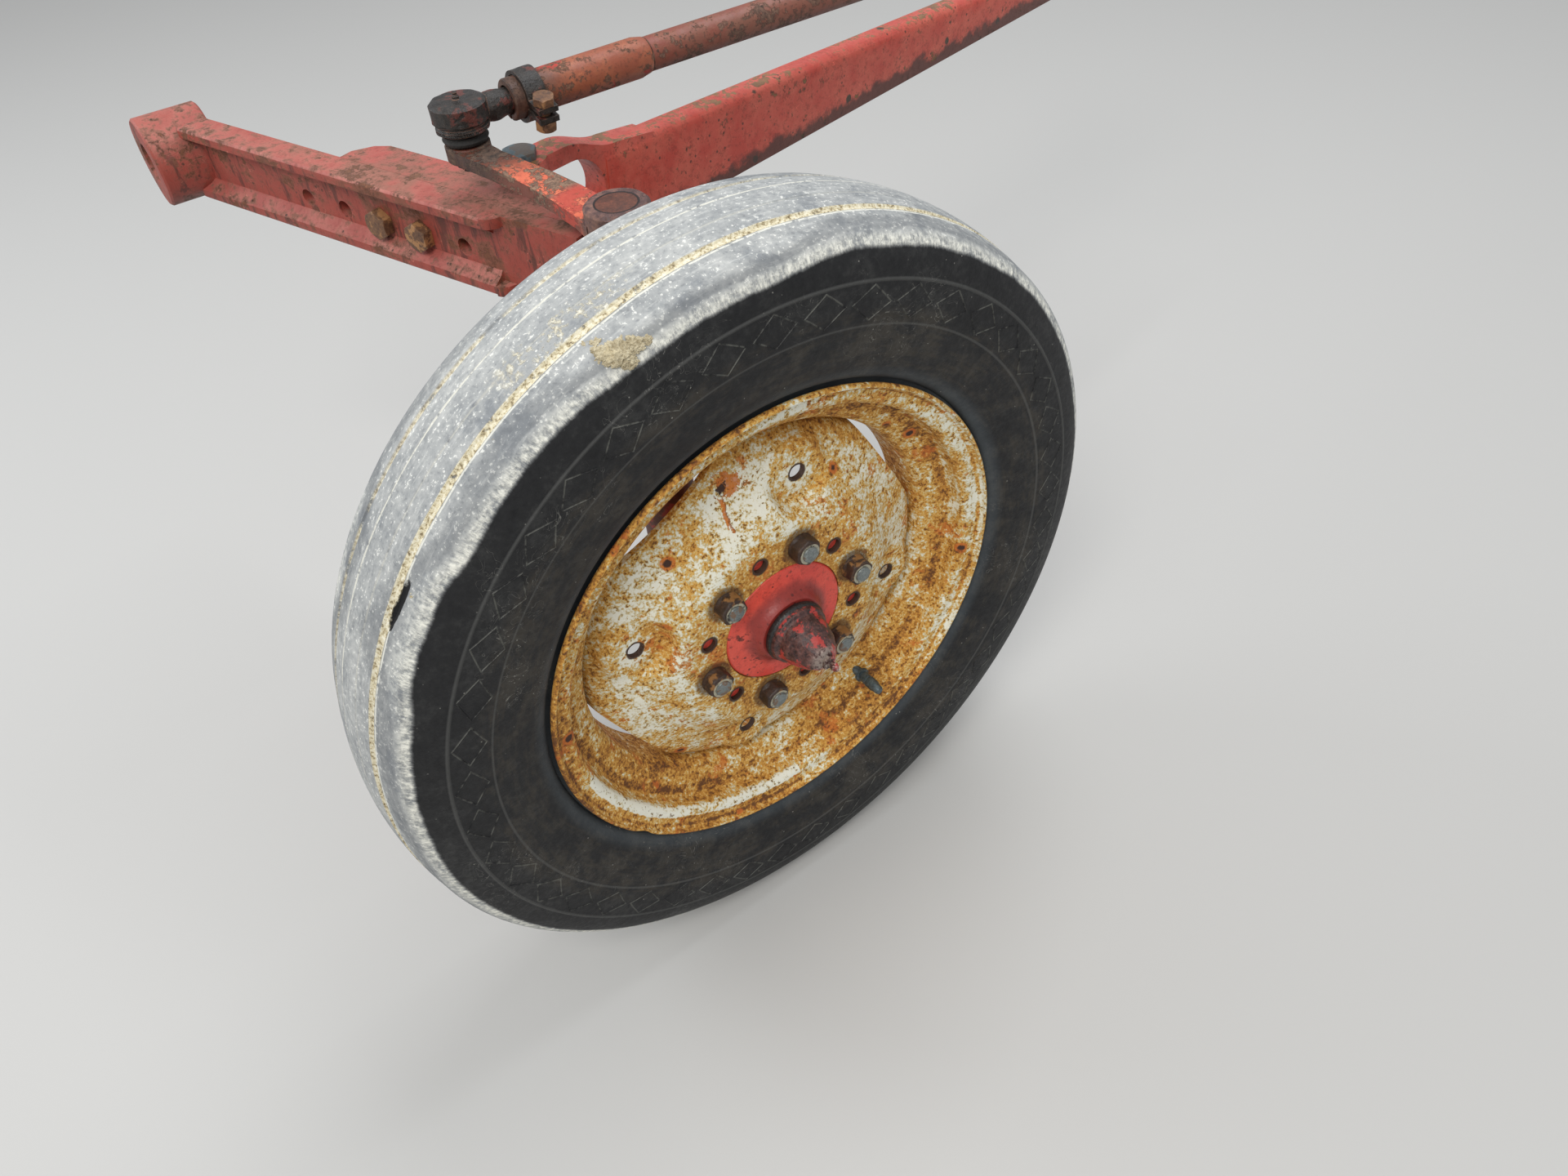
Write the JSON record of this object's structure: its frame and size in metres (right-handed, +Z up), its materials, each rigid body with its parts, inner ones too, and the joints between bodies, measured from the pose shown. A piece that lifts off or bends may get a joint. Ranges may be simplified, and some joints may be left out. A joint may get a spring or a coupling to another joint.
{
  "type": "front wheel station of a small farm tractor",
  "caption": "Left front wheel of a small farm tractor with its swept half axle, steering knuckle and arm, radius rod and drag link. The wheel rolls and steers.",
  "frame": {"origin": "middle of the axle's pivot bore, on the tractor's centre plane", "axes": "+X forward, the way the tractor drives; +Y outboard to the tractor's left; +Z up"},
  "size_m": [1.468, 0.8235, 0.703],
  "materials": {
    "tyre": "worn, scuffed",
    "rim_paint": "rusted through white paint",
    "disc_paint": "rusted through white paint",
    "hub_red": "matte",
    "bare_steel": "oily",
    "rubber": "matte",
    "greasy_steel": "greasy",
    "stud_steel": "worn",
    "nut_rust": "dark rust",
    "valve_steel": "dull",
    "knuckle_rust": "rusted paint",
    "arm_paint": "worn to rust",
    "beam_paint": "faded, dusty",
    "extension_paint": "faded, dusty",
    "bush_bronze": "plain",
    "bolt_rust": "rusted",
    "rod_paint": "faded, chipped",
    "bolt_blue_grey": "satin",
    "joint_grease": "greasy dirt",
    "sleeve_rust": "worn to rust",
    "tube_rust": "worn to rust"
  },
  "bodies": {
    "axle": {"axle_beam": "beam_paint", "axle_extension": "extension_paint", "kingpin_bushes": "bush_bronze", "track_bolts": "bolt_rust", "track_nuts": "bolt_rust", "radius_rod": "rod_paint", "rod_bolt": "bolt_blue_grey", "rod_nut": "bolt_rust", "rod_ball": "bare_steel"},
    "knuckle": {"spindle": "knuckle_rust", "spindle_nut": "bare_steel", "thrust_bearing": "greasy_steel", "dust_washer": "greasy_steel", "steering_arm": "arm_paint", "ball_stud": "bare_steel", "stud_nut": "greasy_steel"},
    "wheel": {"tyre": "tyre", "rim": "rim_paint", "disc": "disc_paint", "hub": "hub_red", "hub_bearings": "bare_steel", "hub_seal": "rubber", "grease_cap": "greasy_steel", "wheel_studs": "stud_steel", "wheel_nuts": "nut_rust", "valve_stem": "valve_steel", "valve_cap": "valve_steel"},
    "drag_link": {"link_front": "joint_grease", "link_sleeve": "sleeve_rust", "link_tube": "tube_rust", "link_clamps": "joint_grease", "clamp_bolts": "bolt_rust", "link_boots": "rubber", "link_rear": "joint_grease", "rear_stud": "bare_steel"}
  },
  "joints": [
    {"name": "steer", "type": "hinge", "parent": "axle", "child": "knuckle", "pos_m": [-0.198, 0.535, 0], "axis": [0, 0, 1], "range_deg": [-40, 40]},
    {"name": "roll", "type": "hinge", "parent": "knuckle", "child": "wheel", "pos_m": [-0.198, 0.66, -0.237], "axis": [0, 1, 0], "continuous": true},
    {"name": "link_turn", "type": "hinge", "parent": "knuckle", "child": "drag_link", "pos_m": [-0.1578, 0.3684, 0.099], "axis": [0, 0, 1], "range_deg": [-40, 40]}
  ],
  "couplings": [
    {"joint": "link_turn", "follows": "steer", "ratio": -1}
  ]
}
